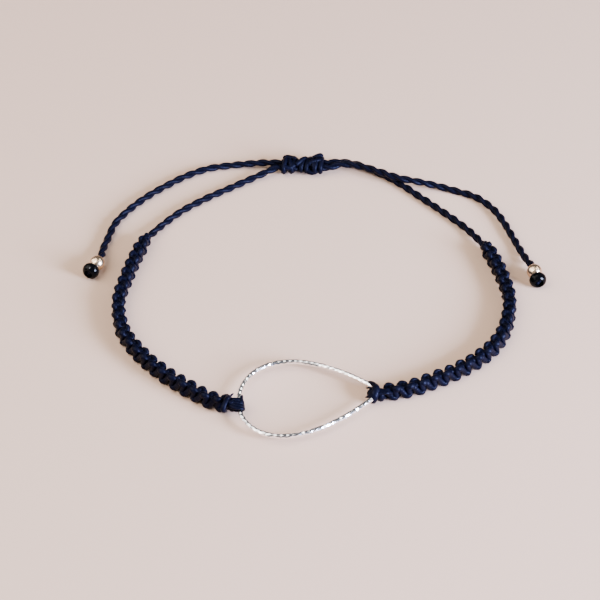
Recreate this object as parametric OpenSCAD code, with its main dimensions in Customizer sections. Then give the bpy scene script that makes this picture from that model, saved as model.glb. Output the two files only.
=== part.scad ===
// Macrame bracelet: two knotted bands on a silver teardrop, closed by a sliding knot
// on two twisted cords, whose loose tails each carry a metal bead and a black bead.
// It lies open on a level surface at z = 0, with the teardrop towards -Y.

/* [Thread] */
// Thickness of one waxed thread
thread_d = 0.7; // [0.65:0.01:0.72]
// Thickness of the cord that two threads are twisted into
cord_d = 1.25; // [1.15:0.01:1.28]

/* [Knotted bands] */
// Thickness of a band, which stands on its edge
band_w = 1.85; // [1.6:0.05:2]
// Height of a standing band
band_h = 2.7; // [2.6:0.05:2.9]
// Share by which a band is drawn in between its knots
knot_depth = 0.34; // [0.15:0.01:0.4]
// Length of one square knot along the band
knot_pitch = 2.05; // [1.9:0.05:2.3]

/* [Teardrop link] */
// Length of the teardrop along its middle line
link_l = 21; // [20.6:0.1:21.4]
// Fullness of the teardrop's sides, before the drop's point draws them in
link_full = 9.7; // [9.5:0.1:9.9]
// Thickness of the wire
wire_d = 0.76; // [0.7:0.02:0.8]
// Turn of the teardrop's long axis from +X, in degrees
link_turn = 9.3; // [8.5:0.1:10.1]

/* [Sliding knot] */
// Length of the sliding knot along the cords
slider_l = 6.9; // [6:0.1:7.5]
// Width of the sliding knot
slider_w = 3.9; // [3.7:0.05:4.2]
// Height of the sliding knot
slider_h = 2.7; // [2.6:0.05:3]

/* [Beads] */
// Diameter of a metal bead
metal_bead_d = 2.4; // [2.2:0.05:2.6]
// Diameter of a black bead across its hole
black_bead_d = 2.7; // [2.5:0.05:3]
// Length of a black bead along its hole
black_bead_l = 2; // [1.6:0.05:2.4]

/* [Hidden] */

thread_colour = [0.06, 0.08, 0.17];
silver_colour = [0.86, 0.86, 0.87];
gold_colour = [0.80, 0.72, 0.58];
black_colour = [0.03, 0.03, 0.035];

// Running gaps between pieces that only touch
wire_gap = 0.06;
bead_gap = 0.05;
slot_gap = 0.03;

// Sides of each swept section, rings for each knot, and the cords' spacing of rings
band_sides = 12;
cord_sides = 8;
wire_sides = 6;
rings_per_knot = 6;
cord_ring_step = 2.5;
link_rings = 44;
bead_fn = 32;
rim_step = 15;

// A knot's lower loops lie farther from the teardrop than its upper ones: by twice this
// angle, where a whole knot is 360 degrees
knot_lean = 47;

// Widths of the closing ends of the bands and the sliding knot, as shares of the full width
band_end_share = 0.85;
slider_end_share = 0.88;
slider_depth = 0.2;

// Middle of the teardrop in the plane, the sharpness of its point, and how far its middle is
// bowed towards the bracelet's inside
link_at = [-0.76, -24.75];
link_point = 0.93;
link_bow = 0.9;
link_mitre_limit = 1.5;

// Heights of the middle lines above the surface
floor_gap = 0.02;
cord_z = cord_d / 2 + floor_gap;
band_z = band_h / 2;
wire_z = band_z;
slider_z = slider_h / 2;

// The folded threads flatten where they turn round the wire
folded_thread_h = 0.5;
fold_inner_r = wire_d / 2 + wire_gap;
fold_outer_r = fold_inner_r + folded_thread_h;

// Middle of the sliding knot, the spacing of the two cords side by side in it, and how far they
// run straight outside it
slider_at = [-1.75, 30.5];
cord_spacing = cord_d + 0.05;
slider_low_x = slider_at.x - slider_l / 2;
slider_high_x = slider_at.x + slider_l / 2;
straight_run = 1;
front_y = slider_at.y - cord_spacing / 2;
back_y = slider_at.y + cord_spacing / 2;

// Where the bands fold over the wire. The left one holds the round end, at this angle of the
// drop's curve. The right one holds the tip: it starts beyond it and a step to its side.
left_hold_angle = 178;
right_stand_off = 0.3;
right_side_step = -0.35;

// For each fold: its direction, how far from its start the band's full section ends, how far it
// reaches on, its width where it turns round the wire and its width above and below
left_fold_turn = 7;
left_back = 1.6;
left_reach = 0;
left_fold_w = 2.3;
left_leg_w = 2.2;
right_fold_turn = 190;
right_back = 0.8;
right_reach = 1.6;
right_fold_w = 1.2;
right_leg_w = 2.3;

// The fold's profile between the band and the wire: its steps of turning round the wire, in
// degrees, the step from the band's last ring to the fold's first, the gap over the folded end,
// and the shares of the way back at which the outer and inner faces meet the wire's level, with
// their rise and dip there
fold_turn_step = 30;
fold_step = 0.12;
fold_end_step = 0.2;
fold_end_gap = 0.1;
shoulder_outer_share = 0.5;
shoulder_inner_share = 0.28;
shoulder_rise = 0.1;
shoulder_dip = 0.15;

// Share of the bend between band and fold that is taken before the fold's first ring
bend_before = 1 / 3;

// Routes of the bands' middle lines, from the cord to the teardrop
left_band_route = [[-27, 11.2], [-28.1, 7.5], [-29.4, 2], [-30.2, -3.5], [-29.2, -9.7], [-26.5, -14.6],
                   [-22.5, -19.2], [-18, -22.9], [-15.2, -24.8]];
right_band_route = [[27.4, 9.2], [28.8, 4.5], [29.8, -0.5], [29.9, -4.5], [28.3, -10.8], [25.4, -15.1],
                    [21, -18.7], [16.5, -21.2], [14, -22.35]];

// Routes of the twisted cords, from each band to the sliding knot, as x, y and z
left_cord_route = [[-27, 11.2, 1.3], [-24.6, 15.5, 0.7], [-21.5, 19.3, cord_z], [-17.5, 22.7, cord_z],
                   [-13.5, 25.5, cord_z], [-10, 27.8, 0.8], [-7.8, 29, 1.1]];
right_cord_route = [[27.4, 9.2, 1.3], [25.1, 14, 0.7], [22.5, 17.4, cord_z], [19.9, 20.3, cord_z],
                    [17, 23.5, cord_z], [13.7, 27, cord_z], [10.5, 29.6, cord_z], [7.5, 31.3, 0.8],
                    [4.8, 31.8, 1]];

// Routes of the loose tails, from the sliding knot to the beads
left_tail_route = [[-8.5, 31.5, 1.1], [-11, 31.6, 0.8], [-14, 31.3, cord_z], [-17.5, 30.5, cord_z],
                   [-21, 28.6, cord_z], [-24.5, 25.8, cord_z], [-27.5, 22.9, cord_z], [-30, 19.8, cord_z],
                   [-32.1, 16.2, cord_z], [-33, 12.5, cord_z], [-33.6, 9.5, 0.8]];
right_tail_route = [[4.8, 30.35, 1.7], [8, 29.5, 1.9], [11, 27.9, 2], [14, 26.3, 2], [17.5, 25.8, 1.5],
                    [20.5, 25.5, 0.9], [23.5, 24.5, cord_z], [26.5, 23, cord_z], [29, 20.2, cord_z],
                    [30.5, 17, cord_z], [31.6, 13.5, cord_z], [32.6, 10.1, cord_z], [33.5, 7, 0.9]];

// Middles of the metal beads, and the way in which each tail's end points through them
bead_z = black_bead_d / 2;
left_bead_at = [-34.2, 5.6, bead_z];
left_bead_turn = -114;
right_bead_at = [34.4, 3.6, bead_z];
right_bead_turn = -80;
metal_half_l = sqrt(pow(metal_bead_d / 2, 2) - pow(cord_d / 2 + bead_gap, 2));
black_bead_offset = metal_half_l + bead_gap + black_bead_l / 2;
tail_past_bead = 0.3;
tail_end_offset = black_bead_offset + black_bead_l / 2 + tail_past_bead;
bead_cut = 1;

// Directions
up = [0, 0, 1];
function turned(a) = [cos(a), sin(a), 0];
function flat(p, z) = [p.x, p.y, z];
function unit(v) = v / norm(v);
function across(t) = unit(cross(up, t));

// A point between b and c on the smooth curve through a, b, c and d
function curve_point(a, b, c, d, t) =
    0.5 * (2 * b + (c - a) * t + (2 * a - 5 * b + 4 * c - d) * t * t
           + (3 * b - a - 3 * c + d) * t * t * t);

// The smooth curve through a route's points
function smooth(p, steps = 8) = [
    for (i = [0 : len(p) - 2], k = [0 : steps - 1])
        curve_point(p[max(i - 1, 0)], p[i], p[i + 1], p[min(i + 2, len(p) - 1)], k / steps),
    p[len(p) - 1]
];

// The distance along a line of points to each of them
function distances(p) = [
    for (i = 0, s = 0; i < len(p); s = s + (i + 1 < len(p) ? norm(p[i + 1] - p[i]) : 0), i = i + 1) s
];

// The same line with its points at even distances
function even(p, count) =
    let (
        s = distances(p),
        total = s[len(s) - 1],
        x = [for (i = [0 : len(p) - 1]) [s[i], p[i].x]],
        y = [for (i = [0 : len(p) - 1]) [s[i], p[i].y]],
        z = [for (i = [0 : len(p) - 1]) [s[i], p[i].z]]
    )
    [for (k = [0 : count]) let (d = total * k / count) [lookup(d, x), lookup(d, y), lookup(d, z)]];

function line_length(p) = let (s = distances(p)) s[len(s) - 1];

// The direction of a line at point i, or the one given for its first or last point
function tangent(p, i, first = undef, last = undef) =
    (i == 0 && !is_undef(first)) ? first
    : (i == len(p) - 1 && !is_undef(last)) ? last
    : unit(p[min(i + 1, len(p) - 1)] - p[max(i - 1, 0)]);

// One ring of points about c, half_w along side and half_h along rise. On a knotted stretch
// it is drawn in between the knots, whose phase runs through 360 degrees from one to the next.
function ring(c, side, rise, half_w, half_h, sides, depth = 0, phase = 0) = [
    for (j = [0 : sides - 1])
        let (
            a = 360 * j / sides,
            m = 1 - depth * pow((1 - cos(phase - knot_lean * sin(a))) / 2, 2)
        )
        c + side * (half_w * cos(a) * m) + rise * (half_h * sin(a) * m)
];

// Faces between ring i and ring k of n points each
function band_of_faces(i, k, n) = [
    for (j = [0 : n - 1], half = [0, 1])
        half == 0
        ? [i * n + j, k * n + (j + 1) % n, i * n + (j + 1) % n]
        : [i * n + j, k * n + j, k * n + (j + 1) % n]
];

// A skin over rings, closed by a flat face at each end
module skin(rings) {
    n = len(rings[0]);
    last = len(rings) - 1;
    walls = [for (i = [0 : last - 1], f = band_of_faces(i, i + 1, n)) f];
    start_cap = [for (j = [0 : n - 1]) j];
    end_cap = [for (j = [0 : n - 1]) last * n + n - 1 - j];
    polyhedron([for (r = rings, q = r) q], concat([start_cap], walls, [end_cap]));
}

// A skin over rings that run round and meet again
module loop_skin(rings) {
    n = len(rings[0]);
    m = len(rings);
    polyhedron([for (r = rings, q = r) q],
               [for (i = [0 : m - 1], f = band_of_faces(i, (i + 1) % m, n)) f]);
}

// A skin over outer rings and, turned inside out, over the rings of a hole along them
module pipe_skin(outer, inner) {
    n = len(outer[0]);
    m = len(outer);
    last = m - 1;
    walls = [for (i = [0 : last - 1], f = band_of_faces(i, i + 1, n)) f];
    hole = [for (i = [0 : last - 1], f = band_of_faces(m + i, m + i + 1, n)) [f[2], f[1], f[0]]];
    start_rim = [for (f = band_of_faces(m, 0, n)) f];
    end_rim = [for (f = band_of_faces(last, m + last, n)) f];
    polyhedron([for (r = concat(outer, inner), q = r) q], concat(walls, hole, start_rim, end_rim));
}

// The teardrop's middle line at angle t: its point is at t = 0 and its round end at t = 180
function link_curve(t) =
    let (
        x = link_l / 2 * cos(t),
        y = link_full * sin(t) * pow(abs(sin(t / 2)), link_point) + link_bow * pow(sin(t), 2)
    )
    flat(link_at, wire_z) + turned(link_turn) * x + turned(link_turn + 90) * y;

// The direction of a fold's ring at this run, between the band's direction and the fold's own
function fold_way(arriving, forward, back, run) =
    let (share = run >= 0 ? 0 : -run / back * (1 - bend_before))
    unit(arriving * share + forward * (1 - share));

// The place in the plane at this run of a fold
function fold_place(start, arriving, forward, back, run) =
    flat(start, 0) + fold_way(arriving, forward, back, run) * run;

// The rings of a band's knotted stretch, which ends in the direction last_way
function knotted_rings(route, end_point, last_way) =
    let (
        curve = smooth([for (p = concat(route, [end_point])) flat(p, band_z)]),
        knots = round(line_length(curve) / knot_pitch),
        points = even(curve, knots * rings_per_knot)
    )
    [for (i = [0 : len(points) - 1])
        let (
            at_end = i == 0 || i == len(points) - 1,
            t = tangent(points, i, last = last_way)
        )
        ring(points[i], across(t), up, band_w / 2 * (at_end ? band_end_share : 1), band_z,
             band_sides, at_end ? 0 : knot_depth, 360 * i / rings_per_knot)];

// The rings of a band's fold over the wire. The fold bends from arriving to forward by its start,
// runs on along forward, and turns down and back under itself. Each row of the profile holds the
// run and height of the fold's outer face, those of its inner face, and the fold's width there.
function fold_rings(start, arriving, forward, back, reach, fold_w, leg_w) =
    let (
        turn = [for (a = [90 : -fold_turn_step : -90])
            [reach + fold_outer_r * cos(a), wire_z + fold_outer_r * sin(a),
             reach + fold_inner_r * cos(a), wire_z + fold_inner_r * sin(a), fold_w]],
        profile = concat(
            [[-back + fold_step, band_h,
              -back + fold_step, wire_z - fold_inner_r + fold_end_gap, band_w]],
            [[-back * shoulder_outer_share, wire_z + fold_outer_r + shoulder_rise,
              -back * shoulder_inner_share, wire_z + fold_inner_r - shoulder_dip, leg_w]],
            reach > 0 ? [[0, wire_z + fold_outer_r, 0, wire_z + fold_inner_r, leg_w]] : [],
            turn,
            reach > 0 ? [[0, wire_z - fold_outer_r, 0, wire_z - fold_inner_r, leg_w]] : [],
            [[-back + fold_end_step, wire_z - fold_outer_r,
              -back + fold_end_step, wire_z - fold_inner_r, band_w]])
    )
    [for (r = profile)
        let (
            outer = fold_place(start, arriving, forward, back, r[0]) + up * r[1],
            inner = fold_place(start, arriving, forward, back, r[2]) + up * r[3],
            way = fold_way(arriving, forward, back, (r[0] + r[2]) / 2)
        )
        ring((outer + inner) / 2, across(way), unit(outer - inner), r[4] / 2,
             norm(outer - inner) / 2, band_sides)];

module knotted_band(route, start, turn, back, reach, fold_w, leg_w) {
    forward = turned(turn);
    arriving = unit(start - flat(route[len(route) - 1], start.z));
    end_point = fold_place(start, arriving, forward, back, -back);
    color(thread_colour)
        skin(concat(knotted_rings(route, end_point, fold_way(arriving, forward, back, -back)),
                    fold_rings(start, arriving, forward, back, reach, fold_w, leg_w)));
}

// The two rings next to the tip are left out, so that the wire's inner wall doesn't cross itself
module teardrop_link() {
    angles = [for (i = [0 : link_rings - 1]) if (i != 1 && i != link_rings - 1) 360 * i / link_rings];
    n = len(angles);
    color(silver_colour)
        loop_skin([
            for (i = [0 : n - 1])
                let (
                    here = link_curve(angles[i]),
                    before = unit(here - link_curve(angles[(i + n - 1) % n])),
                    after = unit(link_curve(angles[(i + 1) % n]) - here),
                    along = unit(before + after),
                    mitre = min(link_mitre_limit, 1 / (before * along))
                )
                ring(here, across(along), up, wire_d / 2 * mitre, wire_d / 2, wire_sides)
        ]);
}

module left_band() {
    knotted_band(left_band_route, link_curve(left_hold_angle), left_fold_turn, left_back, left_reach,
                 left_fold_w, left_leg_w);
}

module right_band() {
    beside_tip = link_curve(0) + turned(link_turn) * right_stand_off
                 + turned(link_turn + 90) * right_side_step;
    knotted_band(right_band_route, beside_tip, right_fold_turn, right_back, right_reach,
                 right_fold_w, right_leg_w);
}

// A twisted cord's plain outer form along a line of points
module cord_tube(route, first = undef, last = undef) {
    curve = smooth(route);
    points = even(curve, round(line_length(curve) / cord_ring_step));
    color(thread_colour)
        skin([
            for (i = [0 : len(points) - 1])
                let (t = tangent(points, i, first, last), side = across(t))
                ring(points[i], side, cross(t, side), cord_d / 2, cord_d / 2, cord_sides)
        ]);
}

// Each cord runs through the sliding knot to its far face, where the other side's tail begins
module left_cord() {
    cord_tube(concat(left_cord_route,
                     [[slider_low_x - straight_run, front_y, slider_z], [slider_low_x, front_y, slider_z],
                      [slider_high_x, front_y, slider_z]]),
              first = -tangent_at_start(left_band_route), last = [1, 0, 0]);
}

module right_cord() {
    cord_tube(concat(right_cord_route,
                     [[slider_high_x + straight_run, back_y, slider_z], [slider_high_x, back_y, slider_z],
                      [slider_low_x, back_y, slider_z]]),
              first = -tangent_at_start(right_band_route), last = [-1, 0, 0]);
}

// The direction in which a band's knotted stretch sets out
function tangent_at_start(route) =
    let (curve = smooth([for (p = route) flat(p, band_z)])) unit(curve[1] - curve[0]);

module left_tail() {
    way = turned(left_bead_turn);
    cord_tube(concat([[slider_low_x, back_y, slider_z], [slider_low_x - straight_run, back_y, slider_z]],
                     left_tail_route,
                     [left_bead_at - way * metal_half_l, left_bead_at + way * tail_end_offset]),
              first = [-1, 0, 0], last = way);
}

module right_tail() {
    way = turned(right_bead_turn);
    cord_tube(concat([[slider_high_x, front_y, slider_z], [slider_high_x + straight_run, front_y, slider_z]],
                     right_tail_route,
                     [right_bead_at - way * metal_half_l, right_bead_at + way * tail_end_offset]),
              first = [1, 0, 0], last = way);
}

// The sliding knot: square knots tied round both cords, with a slot that the cords fill
module sliding_knot() {
    knots = round(slider_l / knot_pitch);
    count = knots * rings_per_knot;
    slot_r = (cord_d / 2 + slot_gap) / cos(180 / band_sides);
    color(thread_colour)
        pipe_skin(
            [for (i = [0 : count])
                let (
                    at_end = i == 0 || i == count,
                    c = [slider_low_x + slider_l * i / count, slider_at.y, slider_z],
                    share = at_end ? slider_end_share : 1
                )
                ring(c, [0, 1, 0], up, slider_w / 2 * share, slider_z * share, band_sides,
                     at_end ? 0 : slider_depth, 360 * i / rings_per_knot)],
            [for (i = [0 : count])
                let (c = [slider_low_x + slider_l * i / count, slider_at.y, slider_z])
                [for (j = [0 : band_sides - 1])
                    let (a = 360 * (j + 0.5) / band_sides)
                    c + [0, sign(cos(a)) * cord_spacing / 2 + slot_r * cos(a), slot_r * sin(a)]]]);
}

// A bead's hole lies along its tail's end
module on_tail(at, turn, offset) {
    translate(at + turned(turn) * offset)
        rotate([0, 0, turn])
            rotate([0, 90, 0])
                children();
}

module bead_hole(l) {
    cylinder(h = l, r = cord_d / 2 + bead_gap, center = true, $fn = bead_fn);
}

module metal_bead(at, turn) {
    color(gold_colour)
        on_tail(at, turn, 0)
            difference() {
                sphere(d = metal_bead_d, $fn = bead_fn);
                bead_hole(metal_bead_d + bead_cut);
            }
}

// A flattened round bead: a half circle turned about the hole
module black_bead(at, turn) {
    rim_r = black_bead_l / 2;
    color(black_colour)
        on_tail(at, turn, black_bead_offset)
            difference() {
                rotate_extrude($fn = bead_fn)
                    polygon(concat(
                        [[0, -rim_r]],
                        [for (a = [-90 : rim_step : 90])
                            [black_bead_d / 2 - rim_r + rim_r * cos(a), rim_r * sin(a)]],
                        [[0, rim_r]]));
                bead_hole(black_bead_l + bead_cut);
            }
}

module left_metal_bead() { metal_bead(left_bead_at, left_bead_turn); }
module left_black_bead() { black_bead(left_bead_at, left_bead_turn); }
module right_metal_bead() { metal_bead(right_bead_at, right_bead_turn); }
module right_black_bead() { black_bead(right_bead_at, right_bead_turn); }

teardrop_link();
left_band();
right_band();
left_cord();
right_cord();
sliding_knot();
left_tail();
right_tail();
left_metal_bead();
left_black_bead();
right_metal_bead();
right_black_bead();
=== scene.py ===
import math

import bpy
import numpy as np
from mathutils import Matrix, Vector


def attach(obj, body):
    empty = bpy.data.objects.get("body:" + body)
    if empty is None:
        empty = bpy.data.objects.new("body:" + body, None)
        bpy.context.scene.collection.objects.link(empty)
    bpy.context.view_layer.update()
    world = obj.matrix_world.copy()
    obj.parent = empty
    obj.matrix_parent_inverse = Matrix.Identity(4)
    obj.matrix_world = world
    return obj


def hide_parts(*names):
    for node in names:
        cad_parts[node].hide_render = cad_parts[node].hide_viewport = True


# Looks of the macrame bracelet. Lengths are in millimetres until a mesh, a cord's path or the
# camera is made. The lights, the floor and the materials' detail are in metres.
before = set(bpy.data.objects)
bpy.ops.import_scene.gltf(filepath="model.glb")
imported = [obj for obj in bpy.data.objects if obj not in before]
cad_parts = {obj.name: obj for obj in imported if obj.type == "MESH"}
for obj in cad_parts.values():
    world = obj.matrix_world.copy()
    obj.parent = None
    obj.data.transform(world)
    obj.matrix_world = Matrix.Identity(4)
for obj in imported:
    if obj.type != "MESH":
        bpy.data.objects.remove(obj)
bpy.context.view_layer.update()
MM = 0.001
TURN = 2 * math.pi
UP = np.array([0.0, 0.0, 1.0])

# Sizes of the cord, the bands and the wire, as in the source
CORD_D = 1.25
FLOOR_GAP = 0.02
CORD_Z = CORD_D / 2 + FLOOR_GAP
BAND_H = 2.7
BAND_Z = BAND_H / 2
KNOT_PITCH = 2.05
WIRE_D = 0.76
WIRE_GAP = 0.06
WIRE_Z = BAND_Z

# The teardrop's middle line, as in the source
LINK_AT = np.array([-0.76, -24.75])
LINK_L = 21.0
LINK_FULL = 9.7
LINK_POINT = 0.93
LINK_BOW = 0.9
LINK_TURN = math.radians(9.3)

# Where the bands fold over the wire, and how far each fold reaches back and on, as in the source
LEFT_HOLD_ANGLE = math.radians(178)
LEFT_FOLD_TURN = math.radians(7)
LEFT_BACK = 1.6
LEFT_REACH = 0.0
RIGHT_STAND_OFF = 0.3
RIGHT_SIDE_STEP = -0.35
RIGHT_FOLD_TURN = math.radians(190)
RIGHT_BACK = 0.8
RIGHT_REACH = 1.6
BEND_BEFORE = 1 / 3

# The sliding knot, and the two cords side by side in it and straight beside it, as in the source
STRAIGHT_RUN = 1
SLIDER_AT = np.array([-1.75, 30.5])
SLIDER_L = 6.9
SLIDER_W = 3.9
SLIDER_H = 2.7
SLIDER_Z = SLIDER_H / 2
CORD_SPACING = CORD_D + 0.05
SLIDER_LOW_X = SLIDER_AT[0] - SLIDER_L / 2
SLIDER_HIGH_X = SLIDER_AT[0] + SLIDER_L / 2
FRONT_Y = SLIDER_AT[1] - CORD_SPACING / 2
BACK_Y = SLIDER_AT[1] + CORD_SPACING / 2

# The beads: sizes, the metal beads' middles and the tails' ways through them, as in the source
METAL_BEAD_D = 2.4
BLACK_BEAD_D = 2.7
BLACK_BEAD_L = 2.0
BEAD_GAP = 0.05
BEAD_Z = BLACK_BEAD_D / 2
LEFT_BEAD_AT = np.array([-34.2, 5.6, BEAD_Z])
LEFT_BEAD_TURN = math.radians(-114)
RIGHT_BEAD_AT = np.array([34.4, 3.6, BEAD_Z])
RIGHT_BEAD_TURN = math.radians(-80)

# Routes, as in the source, with the straight runs of the cords and tails at the sliding knot
LEFT_BAND_ROUTE = [(-27, 11.2), (-28.1, 7.5), (-29.4, 2), (-30.2, -3.5), (-29.2, -9.7), (-26.5, -14.6),
                   (-22.5, -19.2), (-18, -22.9), (-15.2, -24.8)]
RIGHT_BAND_ROUTE = [(27.4, 9.2), (28.8, 4.5), (29.8, -0.5), (29.9, -4.5), (28.3, -10.8), (25.4, -15.1),
                    (21, -18.7), (16.5, -21.2), (14, -22.35)]
LEFT_CORD_ROUTE = [(-27, 11.2, 1.3), (-24.6, 15.5, 0.7), (-21.5, 19.3, CORD_Z), (-17.5, 22.7, CORD_Z),
                   (-13.5, 25.5, CORD_Z), (-10, 27.8, 0.8), (-7.8, 29, 1.1),
                   (SLIDER_LOW_X - STRAIGHT_RUN, FRONT_Y, SLIDER_Z), (SLIDER_LOW_X, FRONT_Y, SLIDER_Z),
                   (SLIDER_HIGH_X, FRONT_Y, SLIDER_Z)]
RIGHT_CORD_ROUTE = [(27.4, 9.2, 1.3), (25.1, 14, 0.7), (22.5, 17.4, CORD_Z), (19.9, 20.3, CORD_Z),
                    (17, 23.5, CORD_Z), (13.7, 27, CORD_Z), (10.5, 29.6, CORD_Z), (7.5, 31.3, 0.8),
                    (4.8, 31.8, 1), (SLIDER_HIGH_X + STRAIGHT_RUN, BACK_Y, SLIDER_Z),
                    (SLIDER_HIGH_X, BACK_Y, SLIDER_Z), (SLIDER_LOW_X, BACK_Y, SLIDER_Z)]
LEFT_TAIL_ROUTE = [(SLIDER_LOW_X, BACK_Y, SLIDER_Z), (SLIDER_LOW_X - STRAIGHT_RUN, BACK_Y, SLIDER_Z),
                   (-8.5, 31.5, 1.1), (-11, 31.6, 0.8), (-14, 31.3, CORD_Z), (-17.5, 30.5, CORD_Z),
                   (-21, 28.6, CORD_Z), (-24.5, 25.8, CORD_Z), (-27.5, 22.9, CORD_Z), (-30, 19.8, CORD_Z),
                   (-32.1, 16.2, CORD_Z), (-33, 12.5, CORD_Z), (-33.6, 9.5, 0.8)]
RIGHT_TAIL_ROUTE = [(SLIDER_HIGH_X, FRONT_Y, SLIDER_Z), (SLIDER_HIGH_X + STRAIGHT_RUN, FRONT_Y, SLIDER_Z),
                    (4.8, 30.35, 1.7), (8, 29.5, 1.9), (11, 27.9, 2), (14, 26.3, 2), (17.5, 25.8, 1.5),
                    (20.5, 25.5, 0.9), (23.5, 24.5, CORD_Z), (26.5, 23, CORD_Z), (29, 20.2, CORD_Z),
                    (30.5, 17, CORD_Z), (31.6, 13.5, CORD_Z), (32.6, 10.1, CORD_Z), (33.5, 7, 0.9)]

# Sides of a thread's tube, of a thin one or one inside a band, and of a wrap over a fold
THREAD_SIDES = 10
THIN_SIDES = 8
WRAP_SIDES = 12

# A tube's rounded end: its rings' widths and distances out, and its tip's, as shares of the tube's
# radius. The first side direction of a tube is square to this one, which no tube starts along.
END_RINGS = ((0.8, 0.35), (0.45, 0.55))
END_TIP = 0.62
NO_TUBE_STARTS = (0.31, 0.17, 0.93)

# The row of square knots on a band: its height and width, how far it lies below the band's middle,
# how far up the cord it begins, how far from each fold's start it ends, and how far it leans over
# by its end. Then the steps of the band's line.
KNOTS_H = 2.6
KNOTS_W = 2.05
KNOTS_SINK = 0.05
KNOTS_EARLY = 0.9
LEFT_KNOTS_STOP = 0.3
RIGHT_KNOTS_STOP = 0.15
BAND_TILT = math.radians(14)
BAND_STEPS = 300

# How much smaller the knots are at a band's ends, and over what lengths they grow
LEFT_LESS_AT_CORD = 0.28
LEFT_GROWTH_L = 3.5
LEFT_GROWTH_POWER = 1.5
LEFT_LESS_AT_FOLD = 0.3
LEFT_LAST_KNOT_L = 1.5
RIGHT_LESS_AT_CORD = 0.1
RIGHT_GROWTH_L = 1.0

# A row's two knotting threads: half width, and thickness as a share of width. Their crossings
# slant by the lap, which brings their loops over each other, and their upper loops lean on by the
# lean, both in half knots.
KNOT_WIDE = 0.45
KNOT_FLAT = 0.66
KNOT_LAP = 0.27
KNOT_LEAN = 0.48

# A loop of these threads: radius, the angles of its points, its depth below the row's surface in
# half thicknesses, the height of its feet as a share of its top's, and how much wider its top is
LOOP_R = 0.5
LOOP_ANGLES = (0, 45, 90, 135, 180)
LOOP_SINK = 1.1
LOOP_FOOT = 0.6
LOOP_SWELL = 0.12

# A crossing behind the row: where it begins and ends, as a share of the row's half height, the
# room between it and the row's back, and how much it bows
CROSSING_END = 0.55
CROSSING_ROOM = 0.14
CROSSING_BOW = 0.15

# The two threads inside a band: radius, and distance above and below the band's middle
CORE_R = 0.42
CORE_RISE = 0.38

# A strand of a fold: half width, thickness as a share of width, how far inside the band it starts,
# where its neck and shoulder are as shares of the way back to the band, and where it lies on the
# wire's limb as a share of the fold's reach
FOLD_WIDE = 0.33
FOLD_FLAT = 0.66
STRAND_IN = 0.3
NECK_AT = 0.75
SHOULDER_AT = 0.35
LIMB_AT = 0.35

# At its neck and in the band: how close a strand is to the fold's middle as a share of what it is
# on the wire, its heights over the band's middle, and its depths under it on the way back. Then
# its room over and under the wire at its shoulder, and its angles as it turns down round the wire.
NECK_CLOSER = 0.8
BAND_CLOSER = 0.6
NECK_OVER = 0.6
BAND_OVER = 0.2
NECK_UNDER = 0.7
BAND_UNDER = 0.3
SHOULDER_ROOM_OVER = 0.06
SHOULDER_ROOM_UNDER = 0.02
STRAND_ANGLES = (75, 45, 15, -15, -45, -75)

# The middle of a fold, from which its strands' outward directions start, is at most this far on
FOLD_MIDDLE = 0.5

# Thickness of a wrap over a fold as a share of its width, and width of a trimmed end's tip as a
# share of its start's
WRAP_FLAT = 0.8
STUB_TIP = 0.45

# The twisted cord: radius of its two threads, length of one turn and distance between its rings
CORD_THREAD_R = 0.38
CORD_LAY = 4.2
CORD_RING_STEP = 0.22

# How far inside its black bead a tail ends
TAIL_INSIDE_BEAD = 0.5

# The sliding knot's threads: radius, room for a wrap inside the knot's box, distance of the first
# and last wrap from the knot's ends, points of a wrap, how far each wrap leans, and the knot's
# size at distances along it: a full end, a slight neck and a long full end
SLIDER_THREAD_R = 0.42
SLIDER_ROOM = SLIDER_THREAD_R + 0.05
SLIDER_INSET = 0.45
SLIDER_POINTS = 28
SLIDER_LEANS = (0.3, -0.3, 0.4, -0.45, 0.45, 0.3, -0.35, 0.4, 0.2)
SLIDER_ALONG = (0, 0.9, 1.7, 2.6, 3.5, 4.6, 6.0, 6.9)
SLIDER_SIZES = (0.95, 1.0, 0.88, 0.7, 0.76, 1.0, 1.0, 0.95)

# The wire's cut facets: length, count round the wire, and depth as a share of the wire's radius.
# Then the steps in which the teardrop's line is measured.
FACET_L = 0.42
FACETS_ROUND = 8
FACET_CUT = 0.085
LINK_STEPS = 720

# Unevenness of hand-tied knots: the spread of a thread's place along, across and over its row and
# of its half width, and the range of a wrap's thickness
CHANCE = np.random.default_rng(7)
KNOT_SPREAD = np.array([0.03, 0.025, 0.02, 0.012])
THINNEST_WRAP = 0.9
THICKEST_WRAP = 1.05

# The plies of a thread: how many, the length of one turn in millimetres, and their height against
# that of the fine noise
PLIES = 3
PLY_TURN = 1.3
PLY_HEIGHT = 0.35

# The colour sockets of a Mix node, which have the same names as its others
MIX_SHARE = 0
MIX_FIRST = 6
MIX_SECOND = 7
MIX_RESULT = 2

# The view: the point looked at, the eye, the distance between them, the width seen there and the
# width of the camera's sensor
VIEW_TARGET = Vector((-2.29, -1.60, 0.0))
VIEW_EYE = Vector((-2.29, -224.54, 200.74))
VIEW_DISTANCE = 300.0
VIEW_WIDTH = 93.0
SENSOR_W = 36.0

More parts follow.
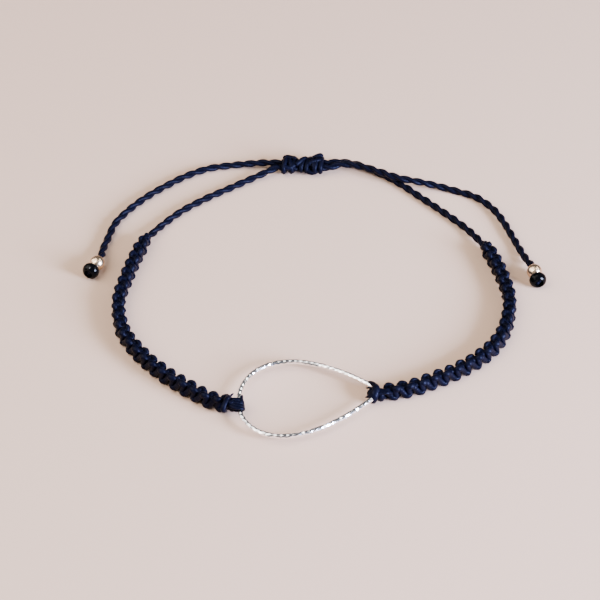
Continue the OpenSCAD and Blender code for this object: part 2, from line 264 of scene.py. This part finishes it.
# Each light's name, place, size, power, colour and shape
LIGHTS = (
    ("left softbox", (-0.27, -0.05, 0.45), 0.60, 4.4, (1.0, 0.94, 0.90), "SQUARE"),
    ("low left softbox", (-0.37, -0.20, 0.34), 0.30, 1.2, (1.0, 0.95, 0.92), "SQUARE"),
    ("far left softbox", (-0.43, 0.10, 0.23), 0.25, 0.8, (1.0, 0.96, 0.94), "SQUARE"),
    ("left lamp", (-0.21, -0.21, 0.42), 0.05, 0.7, (0.95, 0.97, 1.0), "DISK"),
    ("right lamp", (0.23, -0.04, 0.44), 0.12, 0.36, (1.0, 0.96, 0.92), "DISK"),
    ("low right lamp", (0.40, 0.05, 0.30), 0.12, 0.36, (1.0, 0.96, 0.92), "DISK"),
    ("far right lamp", (0.285, 0.18, 0.37), 0.12, 0.36, (1.0, 0.96, 0.92), "DISK"),
    ("window", (0.40, -0.25, 0.16), 0.20, 24.0, (0.60, 0.68, 1.0), "SQUARE"),
)
WORLD_COLOUR = (0.95, 0.96, 1.0)
WORLD_STRENGTH = 0.15
FLOOR_SIZE = 3.0
FLOOR_COLOUR = (0.50, 0.335, 0.235)


def unit(v):
    return v / np.linalg.norm(v)


def units(rows):
    """Each row of an array as a direction of length 1."""
    return rows / np.linalg.norm(rows, axis=1)[:, None]


def turned(angle):
    """The level direction at this angle from +X."""
    return np.array([math.cos(angle), math.sin(angle), 0.0])


def smooth(points, steps=8):
    """The smooth curve through a list of points."""
    p = np.asarray(points, float)
    out = []
    for i in range(len(p) - 1):
        a, b, c, d = p[max(i - 1, 0)], p[i], p[i + 1], p[min(i + 2, len(p) - 1)]
        for k in range(steps):
            t = k / steps
            out.append(0.5 * (2 * b + (c - a) * t + (2 * a - 5 * b + 4 * c - d) * t ** 2
                              + (3 * b - a - 3 * c + d) * t ** 3))
    out.append(p[-1])
    return np.array(out)


def distances(line):
    """The distance along a line of points to each of them."""
    return np.concatenate([[0], np.cumsum(np.linalg.norm(np.diff(line, axis=0), axis=1))])


def read_off(line, values, wanted):
    """What a line has at the wanted distances along it, when values has a row for each point."""
    along = distances(line)
    return np.stack([np.interp(wanted, along, values[:, k]) for k in range(3)], axis=1)


def even(line, count):
    """The same line with count + 1 points at even distances."""
    return read_off(line, line, np.linspace(0, distances(line)[-1], count + 1))


def tangents(line, closed=False):
    """The direction of a line at each of its points."""
    if closed:
        return units(np.roll(line, -1, axis=0) - np.roll(line, 1, axis=0))
    return units(np.gradient(line, axis=0))


def carried_sides(ways):
    """A side direction at each point of a line that runs these ways, carried along it with as
    little turning as can be."""
    side = unit(np.cross(ways[0], NO_TUBE_STARTS))
    sides = []
    for way in ways:
        side = unit(side - way * np.dot(side, way))
        sides.append(side)
    return np.array(sides)


class Mesh:
    """Collects tubes and other skins into one mesh with one UV map: round, and along in mm."""

    def __init__(self):
        self.points = []
        self.faces = []
        self.uvs = []
        self.count = 0

    def tube(self, line, radius, sides=THREAD_SIDES, closed=False, flat=1.0, outward=None):
        """A tube along a line. radius is a number or one for each point. The tube's thickness is
        this share of its width along outward, which is a direction for each point."""
        line = np.asarray(line, float)
        n = len(line)
        radius = np.broadcast_to(np.asarray(radius, float), (n,))
        way = tangents(line, closed)
        side = carried_sides(way) if outward is None else units(np.cross(outward, way))
        rise = np.cross(way, side)
        angle = TURN * np.arange(sides) / sides
        ring = (np.cos(angle)[None, :, None] * side[:, None, :]
                + flat * np.sin(angle)[None, :, None] * rise[:, None, :])
        points = line[:, None, :] + radius[:, None, None] * ring
        self.points.append(points.reshape(-1, 3))
        along = distances(line)
        for i in range(n if closed else n - 1):
            k = (i + 1) % n
            v0, v1 = along[i], along[k] if k else along[i] + 1
            for j in range(sides):
                m = (j + 1) % sides
                self.faces.append((self.count + i * sides + j, self.count + i * sides + m,
                                   self.count + k * sides + m, self.count + k * sides + j))
                u0, u1 = j / sides, (j + 1) / sides
                self.uvs.extend([(u0, v0), (u1, v0), (u1, v1), (u0, v1)])
        self.count += n * sides
        if not closed:
            self.rounded_end(line[0], -way[0], points[0], radius[0] * flat, along[0], True)
            self.rounded_end(line[-1], way[-1], points[-1], radius[-1] * flat, along[-1], False)

    def rounded_end(self, centre, way, ring, radius, v, reverse):
        """The end of a tube, from its last ring: smaller rings and a tip."""
        sides = len(ring)
        rings = [ring]
        for share, out in END_RINGS:
            rings.append(centre + (ring - centre) * share + way * radius * out)
        tip = centre + way * radius * END_TIP
        self.points.extend(rings + [tip[None, :]])
        start = self.count
        last = start + len(END_RINGS) * sides
        for i in range(len(END_RINGS)):
            for j in range(sides):
                m = (j + 1) % sides
                quad = (start + i * sides + j, start + i * sides + m,
                        start + (i + 1) * sides + m, start + (i + 1) * sides + j)
                self.faces.append(quad[::-1] if reverse else quad)
                self.uvs.extend([(j / sides, v)] * 4)
        for j in range(sides):
            tri = (last + j, last + (j + 1) % sides, last + sides)
            self.faces.append(tri[::-1] if reverse else tri)
            self.uvs.extend([(j / sides, v)] * 3)
        self.count = last + sides + 1

    def make(self, name, material, replaced, faceted=False):
        """The finished object, riding on the part's one body in place of the CAD nodes named."""
        data = bpy.data.meshes.new(name)
        points = np.concatenate(self.points) * MM
        data.from_pydata(points.tolist(), [], self.faces)
        layer = data.uv_layers.new(name="thread")
        layer.data.foreach_set("uv", np.array(self.uvs, np.float32).reshape(-1))
        if faceted:
            data.shade_flat()
        else:
            data.shade_smooth()
        data.materials.append(material)
        obj = bpy.data.objects.new(name, data)
        bpy.context.scene.collection.objects.link(obj)
        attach(obj, "root")
        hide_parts(*replaced)
        return obj


class Nodes:
    """A short way to write a material's node tree."""

    def __init__(self, name):
        self.material = bpy.data.materials.new(name)
        self.material.use_nodes = True
        self.tree = self.material.node_tree
        self.shader = self.tree.nodes["Principled BSDF"]

    def add(self, kind, **values):
        """A node of this kind with these settings and inputs."""
        node = self.tree.nodes.new(kind)
        for key, value in values.items():
            if hasattr(node, key):
                setattr(node, key, value)
            else:
                node.inputs[key.replace("_", " ")].default_value = value
        return node

    def join(self, a, b):
        self.tree.links.new(a, b)

    def calculated(self, operation, *values):
        """The result of a Math node on these values, each an output or a number."""
        node = self.add("ShaderNodeMath", operation=operation)
        for socket, value in zip(node.inputs, values):
            if isinstance(value, bpy.types.NodeSocket):
                self.join(value, socket)
            else:
                socket.default_value = value
        return node.outputs[0]

    def set(self, **values):
        """Constants on the shader's own sockets."""
        for key, value in values.items():
            self.shader.inputs[key.replace("_", " ")].default_value = value


def thread_material(name, dark, light):
    """Waxed thread: fine plies wound round it, a soft shine, and a little unevenness of colour."""
    n = Nodes(name)
    n.set(Roughness=0.42, Specular_IOR_Level=0.06, Specular_Tint=(0.60, 0.63, 1.0, 1.0))
    place = n.add("ShaderNodeTexCoord").outputs["Object"]
    uv = n.add("ShaderNodeUVMap", uv_map="thread")
    parts = n.add("ShaderNodeSeparateXYZ")
    n.join(uv.outputs["UV"], parts.inputs[0])

    turns_round = n.calculated("MULTIPLY", parts.outputs["X"], PLIES * TURN)
    turns_along = n.calculated("MULTIPLY", parts.outputs["Y"], PLIES * TURN / PLY_TURN)
    plies = n.calculated("SINE", n.calculated("ADD", turns_round, turns_along))
    fuzz = n.add("ShaderNodeTexNoise", Scale=1400.0, Detail=4.0, Roughness=0.6)
    n.join(place, fuzz.inputs["Vector"])
    height = n.calculated("MULTIPLY_ADD", plies, PLY_HEIGHT, fuzz.outputs["Fac"])
    bump = n.add("ShaderNodeBump", Strength=0.5, Distance=0.00005)
    n.join(height, bump.inputs["Height"])
    n.join(bump.outputs[0], n.shader.inputs["Normal"])

    patches = n.add("ShaderNodeTexNoise", Scale=500.0, Detail=2.0)
    n.join(place, patches.inputs["Vector"])
    mix = n.add("ShaderNodeMix", data_type="RGBA")
    mix.inputs[MIX_FIRST].default_value = (*dark, 1)
    mix.inputs[MIX_SECOND].default_value = (*light, 1)
    n.join(patches.outputs["Fac"], mix.inputs[MIX_SHARE])
    n.join(mix.outputs[MIX_RESULT], n.shader.inputs["Base Color"])
    return n.material


def plain_material(name, colour, **more):
    """A material that is the same all over, for metal, glass and the floor."""
    n = Nodes(name)
    n.set(Base_Color=(*colour, 1), **more)
    return n.material


THREAD = thread_material("navy_thread", (0.0005, 0.0006, 0.0020), (0.0016, 0.0019, 0.0070))
SILVER = plain_material("silver_wire", (0.99, 0.99, 0.99), Roughness=0.14, Metallic=1.0)
PALE_GOLD = plain_material("pale_gold_metal", (0.72, 0.52, 0.34), Roughness=0.26, Metallic=1.0)
BLACK = plain_material("black_glass", (0.001, 0.001, 0.0012), Roughness=0.05, Specular_IOR_Level=0.07)


def facing(way):
    """The turn of a camera or a light that faces this way."""
    return way.to_track_quat("-Z", "Y").to_euler()


def add_camera():
    """The photograph's view: level, 42 degrees above the surface, a long lens."""
    target = VIEW_TARGET * MM
    eye = VIEW_EYE * MM
    data = bpy.data.cameras.new("camera")
    data.sensor_width = SENSOR_W
    data.lens = SENSOR_W * VIEW_DISTANCE / VIEW_WIDTH
    data.clip_start = 0.01
    camera = bpy.data.objects.new("camera", data)
    camera.location = eye
    camera.rotation_euler = facing(target - eye)
    bpy.context.scene.collection.objects.link(camera)
    bpy.context.scene.camera = camera


def add_light(name, at, size, power, colour, shape):
    """A light that faces the middle of the bracelet's frame."""
    data = bpy.data.lights.new(name, "AREA")
    data.shape = shape
    data.size = size
    data.energy = power
    data.color = colour
    light = bpy.data.objects.new(name, data)
    light.location = at
    light.rotation_euler = facing(-Vector(at))
    bpy.context.scene.collection.objects.link(light)


def add_surroundings():
    """The dim world, the lights and the pale floor."""
    world = bpy.data.worlds.new("world")
    bpy.context.scene.world = world
    world.use_nodes = True
    background = world.node_tree.nodes["Background"]
    background.inputs["Color"].default_value = (*WORLD_COLOUR, 1)
    background.inputs["Strength"].default_value = WORLD_STRENGTH
    for light in LIGHTS:
        add_light(*light)
    bpy.ops.mesh.primitive_plane_add(size=FLOOR_SIZE, location=(0, 0, 0))
    floor = bpy.context.object
    floor.name = "floor"
    floor.data.materials.append(plain_material("floor", FLOOR_COLOUR, Roughness=0.9))


def link_point_at(t):
    """The teardrop's middle line, as in the source."""
    x = LINK_L / 2 * math.cos(t)
    y = LINK_FULL * math.sin(t) * abs(math.sin(t / 2)) ** LINK_POINT + LINK_BOW * math.sin(t) ** 2
    plan = np.append(LINK_AT, WIRE_Z)
    return plan + turned(LINK_TURN) * x + turned(LINK_TURN + math.pi / 2) * y


def make_link():
    """The silver teardrop: round wire with small cut facets in a diamond pattern."""
    sides = FACETS_ROUND
    fine = np.array([link_point_at(TURN * i / LINK_STEPS) for i in range(LINK_STEPS + 1)])
    rings = 2 * round(distances(fine)[-1] / FACET_L / 2)
    line = even(fine, rings)[:-1]
    way = tangents(line, closed=True)
    points = []
    for i in range(rings):
        side = unit(np.cross(UP, way[i]))
        rise = np.cross(way[i], side)
        for j in range(sides):
            angle = TURN * (j + 0.5 * (i % 2)) / sides
            r = WIRE_D / 2 * CHANCE.uniform(1 - FACET_CUT, 1)
            points.append(line[i] + r * (math.cos(angle) * side + math.sin(angle) * rise))
    mesh = Mesh()
    mesh.points.append(np.array(points))
    for i in range(rings):
        k = (i + 1) % rings
        for j in range(sides):
            m = (j + 1) % sides
            if i % 2 == 0:
                mesh.faces.extend([(i * sides + j, i * sides + m, k * sides + j),
                                   (i * sides + m, k * sides + m, k * sides + j)])
            else:
                mesh.faces.extend([(i * sides + j, k * sides + m, k * sides + j),
                                   (i * sides + j, i * sides + m, k * sides + m)])
            mesh.uvs.extend([(0, 0), (1, 0), (0, 1)] * 2)
    mesh.make("teardrop_wire", SILVER, ["teardrop_link"], faceted=True)


def knotting_threads(halves):
    """The two knotting threads of a row of square knots, each as rows (t, a, b, r): t counts half
    knots along the row, a runs across it from edge to edge, b is the height over its middle and r
    the thread's half width. At each whole t the thread crosses behind the row. Between them it
    stands out as a round loop at the edge that it has reached, lapping over the other thread,
    which is the same one turned half round the row's axis."""
    half_thick = KNOT_WIDE * KNOT_FLAT
    loop_a = KNOTS_H / 2 - KNOT_WIDE - LOOP_R
    loop_b = KNOTS_W / 2 - LOOP_SINK * half_thick
    loop_t = LOOP_R / (KNOT_PITCH / 2)
    crossing_b = KNOTS_W / 2 - half_thick - CROSSING_ROOM
    rows = []
    edge = 1
    for k in range(halves + 1):
        for share in (-CROSSING_END, 0.0, CROSSING_END):
            rows.append((k - share * KNOT_LAP, edge * share * KNOTS_H / 2,
                         -crossing_b * (1 - CROSSING_BOW * abs(share)), KNOT_WIDE))
        for angle in LOOP_ANGLES:
            up = math.sin(math.radians(angle))
            rows.append((k + 0.5 - loop_t * math.cos(math.radians(angle)),
                         edge * (loop_a + LOOP_R * up),
                         loop_b * (LOOP_FOOT + (1 - LOOP_FOOT) * up),
                         KNOT_WIDE * (1 + LOOP_SWELL * up)))
        edge = -edge
    first = np.array(rows[:-len(LOOP_ANGLES)], float)
    threads = []
    for turn in (1.0, -1.0):
        thread = first * np.array([1.0, turn, turn, 1.0])
        thread += CHANCE.normal(0, 1, thread.shape) * KNOT_SPREAD
        thread[:, 0] += KNOT_LEAN * thread[:, 1] / (KNOTS_H / 2)
        threads.append(smooth(thread, steps=3))
    return threads


def on_line(line, tilt, rows, half_pitch, swell):
    """Where rows (t, a, b, r) lie on a line, with the half widths and outward directions there.
    The a side is up, and tilted away from the b side by this angle where the line ends."""
    length = distances(line)[-1]
    along = rows[:, 0] * half_pitch + half_pitch / 2
    held = np.clip(along, 0, length)
    centre = read_off(line, line, held)
    way = units(read_off(line, tangents(line), held))
    b_way = units(np.cross(way, UP))
    lean = tilt * (held / length)[:, None]
    a_way = np.cos(lean) * UP - np.sin(lean) * b_way
    b_way = np.cross(way, a_way)
    share = swell(held, length)[:, None]
    a = rows[:, 1:2]
    b = rows[:, 2:3]
    places = centre + way * (along - held)[:, None] + a_way * a * share + b_way * b * share
    outward = a_way * a / (KNOTS_H / 2) ** 2 + b_way * b / (KNOTS_W / 2) ** 2
    return places, rows[:, 3] * share[:, 0], outward


def knot_row(mesh, line, tilt, knots, swell):
    """Square knots all along a line of points."""
    half_pitch = distances(line)[-1] / (2 * knots)
    for thread in knotting_threads(2 * knots - 1):
        places, radius, outward = on_line(line, tilt, thread, half_pitch, swell)
        mesh.tube(places, radius, flat=KNOT_FLAT, outward=outward)


def left_swell(along, length):
    """The left band's size along it: it grows slowly out of the cord, and its last knot is small."""
    from_cord = LEFT_LESS_AT_CORD * np.clip(1 - along / LEFT_GROWTH_L, 0, 1) ** LEFT_GROWTH_POWER
    to_fold = LEFT_LESS_AT_FOLD * np.clip(1 - (length - along) / LEFT_LAST_KNOT_L, 0, 1)
    return (1 - from_cord) * (1 - to_fold)


def right_swell(along, length):
    """The right band's size along it: its first knot is nearly full at once."""
    return 1 - RIGHT_LESS_AT_CORD * np.clip(1 - along / RIGHT_GROWTH_L, 0, 1)


def fold_strand(mesh, start, arriving, forward, back, reach, side, turn_side, under_side):
    """One thread from a band's end over the wire and back under it. side is how far it lies from
    the fold's middle over the wire, turn_side the same where it turns down and under_side below."""
    r = WIRE_D / 2 + WIRE_GAP + FOLD_FLAT * FOLD_WIDE
    in_band = -back - STRAND_IN
    neck = -NECK_AT * back
    shoulder = -SHOULDER_AT * back
    limb = LIMB_AT * reach
    rows = [(in_band, BAND_Z + BAND_OVER, BAND_CLOSER * side),
            (neck, BAND_Z + NECK_OVER, NECK_CLOSER * side),
            (shoulder, WIRE_Z + r + SHOULDER_ROOM_OVER, side)]
    if reach > 0:
        rows.append((limb, WIRE_Z + r, 0.5 * (side + turn_side)))
    for degrees in STRAND_ANGLES:
        angle = math.radians(degrees)
        share = (1 + math.sin(angle)) / 2
        across = share * turn_side + (1 - share) * under_side
        rows.append((reach + r * math.cos(angle), WIRE_Z + r * math.sin(angle), across))
    if reach > 0:
        rows.append((limb, WIRE_Z - r, under_side))
    rows += [(shoulder, WIRE_Z - r - SHOULDER_ROOM_UNDER, under_side),
             (neck, BAND_Z - NECK_UNDER, NECK_CLOSER * under_side),
             (in_band, BAND_Z - BAND_UNDER, BAND_CLOSER * under_side)]
    places = []
    for run, z, across in rows:
        way = forward
        if run < 0:
            way = unit(arriving * min(-run / back, 1) + forward * max(1 + run / back, 0))
        places.append(np.append(start[:2], z) + way * run + np.cross(UP, way) * across)
    curve = smooth(places, steps=5)
    middle = np.append(start[:2], WIRE_Z) + forward * min(reach, FOLD_MIDDLE)
    outward = curve - middle
    outward -= np.cross(UP, forward) * (outward @ np.cross(UP, forward))[:, None]
    mesh.tube(curve, FOLD_WIDE, flat=FOLD_FLAT, outward=outward)


def wrap(mesh, curve, radius, middle):
    """A thick strand wound round a fold with this middle."""
    mesh.tube(curve, radius, WRAP_SIDES, flat=WRAP_FLAT, outward=curve - np.array(middle))


def stub(mesh, points, radius):
    """A short trimmed thread end, thinner towards its tip."""
    curve = smooth(points, steps=4)
    mesh.tube(curve, np.linspace(radius, STUB_TIP * radius, len(curve)), THIN_SIDES)


def left_fold(mesh, start, arriving, forward):
    """Four threads side by side over the round end, a wrap round their neck and two trimmed ends."""
    for place in (-1.1, -0.5, 0.1, 0.7):
        fold_strand(mesh, start, arriving, forward, LEFT_BACK, LEFT_REACH,
                    side=0.9 * place, turn_side=place, under_side=0.2 + 0.35 * place)
    neck = smooth([(-12.5, -24.9, 1.0), (-12.55, -24.85, 1.8), (-12.75, -25.4, 2.4), (-13.05, -26.3, 2.5),
                   (-13.35, -27.1, 2.1), (-13.4, -27.2, 1.5), (-13.2, -26.6, 0.9)], steps=5)
    wrap(mesh, neck, radius=0.38, middle=(-13.0, -26.1, 1.2))
    stub(mesh, [(-12.6, -25.0, 1.9), (-12.3, -24.7, 2.15), (-12.0, -24.5, 2.3)], radius=0.25)
    stub(mesh, [(-10.75, -25.7, 1.9), (-10.75, -25.2, 2.1), (-10.7, -24.8, 2.25)], radius=0.32)


def right_fold(mesh, start, arriving, forward):
    """Three threads over the tip, one hooked over the upper limb with a lobe beside it, and two
    trimmed ends."""
    for place in (-1, 0, 1):
        fold_strand(mesh, start, arriving, forward, RIGHT_BACK, RIGHT_REACH,
                    side=0.5 + 0.3 * place, turn_side=0.2 + 0.36 * place, under_side=0.3 * place)
    hook = smooth([(7.75, -21.3, 0.9), (7.95, -21.6, 1.75), (8.3, -22.2, 2.1), (8.75, -22.9, 2.2),
                   (8.8, -23.5, 2.2), (8.65, -24.1, 1.95), (8.45, -24.45, 1.4), (8.35, -24.4, 0.8),
                   (8.4, -24.1, 0.4)], steps=5)
    hook_radius = np.interp(np.arange(len(hook)), [0, 8, 18, 30, len(hook)], [0.2, 0.34, 0.6, 0.66, 0.5])
    wrap(mesh, hook, radius=hook_radius, middle=(8.5, -23.2, 0.8))
    lobe = smooth([(9.45, -23.7, 1.7), (9.5, -24.0, 1.5), (9.55, -24.1, 1.1), (9.5, -23.9, 0.6)], steps=5)
    wrap(mesh, lobe, radius=0.55, middle=(9.5, -23.2, 0.8))
    stub(mesh, [(8.2, -23.0, 1.9), (7.8, -22.9, 1.95), (7.45, -23.0, 1.95)], radius=0.24)
    stub(mesh, [(8.0, -24.1, 1.5), (7.6, -24.2, 1.4), (7.3, -24.3, 1.35)], radius=0.24)


def make_band(name, node, route, start, forward, stop, tilt, swell, fold):
    """A band on its edge: two core threads, the knots round them, and the fold over the wire. Its
    middle line runs from a little way up the cord to where its knots stop."""
    arriving = unit(start - np.array([*route[-1], start[2]]))
    end = start - unit(arriving * (1 - BEND_BEFORE) + forward * BEND_BEFORE) * stop
    first = np.array(route[0])
    before = first - unit(np.array(route[1]) - first) * KNOTS_EARLY
    line = smooth([(x, y, BAND_Z) for x, y in [tuple(before)] + route + [tuple(end[:2])]])
    knots = round(distances(line)[-1] / KNOT_PITCH)
    line = even(line, BAND_STEPS)
    mesh = Mesh()
    knot_row(mesh, line - UP * KNOTS_SINK, tilt, knots, swell)
    for rise in (-CORE_RISE, CORE_RISE):
        mesh.tube(line + UP * rise, CORE_R, THIN_SIDES)
    fold(mesh, start, arriving, forward)
    mesh.make(name, THREAD, [node])


def twisted(mesh, route, phase):
    """Two threads twisted together along a route. Returns their middle line."""
    line = smooth(route)
    line = even(line, round(distances(line)[-1] / CORD_RING_STEP))
    way = tangents(line)
    side = units(np.cross(UP, way))
    rise = np.cross(way, side)
    angle = phase + TURN * distances(line) / CORD_LAY
    for k in (0, 1):
        a = angle + math.pi * k
        off = (CORD_D / 2 - CORD_THREAD_R) * (np.cos(a)[:, None] * side + np.sin(a)[:, None] * rise)
        mesh.tube(line + off, CORD_THREAD_R)
    return line


def make_cord(name, node, route, phase):
    """A twisted cord from its band through the sliding knot."""
    mesh = Mesh()
    twisted(mesh, route, phase)
    mesh.make(name, THREAD, [node])


def make_tail(name, node, route, bead_at, bead_turn, phase):
    """A loose tail, through its metal bead and into its black one."""
    metal_half = math.sqrt((METAL_BEAD_D / 2) ** 2 - (CORD_D / 2 + BEAD_GAP) ** 2)
    way = turned(bead_turn)
    end = metal_half + BEAD_GAP + BLACK_BEAD_L - TAIL_INSIDE_BEAD
    route = list(route) + [tuple(bead_at - way * metal_half), tuple(bead_at + way * end)]
    mesh = Mesh()
    line = twisted(mesh, route, phase)
    tail = mesh.make(name, THREAD, [node])


def make_slider():
    """The sliding knot: threads wound and crossed tightly round the two cords side by side."""
    mesh = Mesh()
    around = TURN * np.arange(SLIDER_POINTS) / SLIDER_POINTS
    middles = np.linspace(SLIDER_LOW_X + SLIDER_INSET, SLIDER_HIGH_X - SLIDER_INSET, len(SLIDER_LEANS))
    for x, lean in zip(middles, SLIDER_LEANS):
        size = np.interp(x - SLIDER_LOW_X, SLIDER_ALONG, SLIDER_SIZES)
        y = SLIDER_AT[1] + size * (SLIDER_W / 2 - SLIDER_ROOM) * np.cos(around)
        z = SLIDER_Z + size * (SLIDER_H / 2 - SLIDER_ROOM) * np.sin(around)
        ring = np.stack([x + lean * np.cos(around), y, z], axis=1)
        mesh.tube(ring, SLIDER_THREAD_R * CHANCE.uniform(THINNEST_WRAP, THICKEST_WRAP), closed=True)
    laps = [
        [(-0.9, 29.9, 2.1), (-0.2, 30.2, 2.35), (0.8, 30.5, 2.35), (1.4, 30.7, 2.1)],
        [(-0.1, 31.7, 1.9), (0.6, 31.85, 2.2), (1.1, 31.95, 2.3), (1.3, 31.9, 2.1)],
        [(-1.2, 29.3, 1.3), (-0.7, 29.05, 1.0), (0.0, 29.05, 0.95), (0.5, 29.3, 1.1)],
        [(-4.9, 29.4, 1.9), (-4.4, 29.2, 1.8), (-3.8, 29.3, 1.8), (-3.3, 29.7, 2.0)],
        [(-4.9, 31.6, 2.0), (-4.4, 31.75, 2.1), (-3.8, 31.6, 2.1), (-3.1, 31.2, 2.2)],
        [(-2.9, 29.8, 2.1), (-2.3, 30.3, 2.3), (-1.8, 30.9, 2.3), (-1.3, 31.4, 2.1)],
    ]
    for lap in laps:
        mesh.tube(smooth(lap, steps=5), SLIDER_THREAD_R)
    mesh.make("sliding_knot_threads", THREAD, ["sliding_knot"])


def dress_bead(node, material):
    """A bead of the CAD model, smooth and in its own material."""
    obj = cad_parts[node]
    obj.data.materials.clear()
    obj.data.materials.append(material)
    obj.data.shade_smooth()
    return obj


add_camera()
add_surroundings()
left_beads = [dress_bead("left_metal_bead", PALE_GOLD),
              dress_bead("left_black_bead", BLACK)]
right_beads = [dress_bead("right_metal_bead", PALE_GOLD),
               dress_bead("right_black_bead", BLACK)]
make_tail("left_tail_threads", "left_tail", LEFT_TAIL_ROUTE, LEFT_BEAD_AT, LEFT_BEAD_TURN,
          phase=0.3)
make_tail("right_tail_threads", "right_tail", RIGHT_TAIL_ROUTE, RIGHT_BEAD_AT, RIGHT_BEAD_TURN,
          phase=1.1)
make_cord("left_cord_threads", "left_cord", LEFT_CORD_ROUTE, phase=0.0)
make_cord("right_cord_threads", "right_cord", RIGHT_CORD_ROUTE, phase=0.8)
make_link()
left_start = link_point_at(LEFT_HOLD_ANGLE)
right_start = (link_point_at(0.0) + turned(LINK_TURN) * RIGHT_STAND_OFF
               + turned(LINK_TURN + math.pi / 2) * RIGHT_SIDE_STEP)
make_band("left_band_threads", "left_band", LEFT_BAND_ROUTE, left_start, turned(LEFT_FOLD_TURN),
          LEFT_KNOTS_STOP, BAND_TILT, left_swell, left_fold)
make_band("right_band_threads", "right_band", RIGHT_BAND_ROUTE, right_start, turned(RIGHT_FOLD_TURN),
          RIGHT_KNOTS_STOP, -BAND_TILT, right_swell, right_fold)
make_slider()
